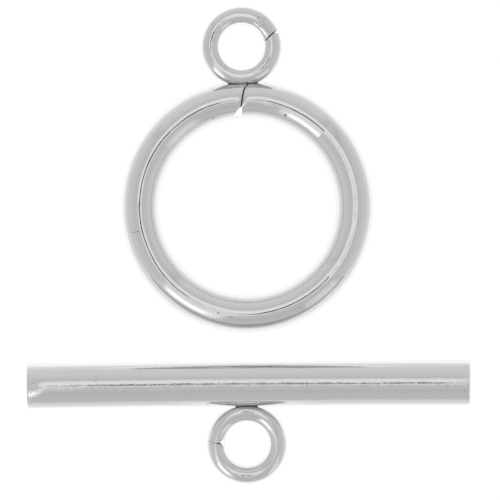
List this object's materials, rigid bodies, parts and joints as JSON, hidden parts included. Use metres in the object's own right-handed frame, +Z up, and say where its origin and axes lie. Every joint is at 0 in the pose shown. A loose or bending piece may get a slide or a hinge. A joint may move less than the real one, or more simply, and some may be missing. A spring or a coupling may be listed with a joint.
{
  "type": "toggle clasp",
  "caption": "Toggle clasp for jewellery, shown open: a round wire ring and a straight round bar, each with a small welded wire loop for a jump ring.",
  "frame": {"origin": "on the surface that the clasp lies on, under the middle of the whole clasp: the bar's middle in X, halfway between the far edges of the two loops in Y, and the lowest points of both halves in Z", "axes": "+X along the bar to the right, +Y from the bar towards the ring and its loop, +Z up from the surface, towards the camera in the picture"},
  "size_m": [0.028, 0.03, 0.0027],
  "materials": {
    "polished_steel": "polished"
  },
  "bodies": {
    "root": {"toggle_ring": "polished_steel", "toggle_bar": "polished_steel"}
  },
  "joints": []
}
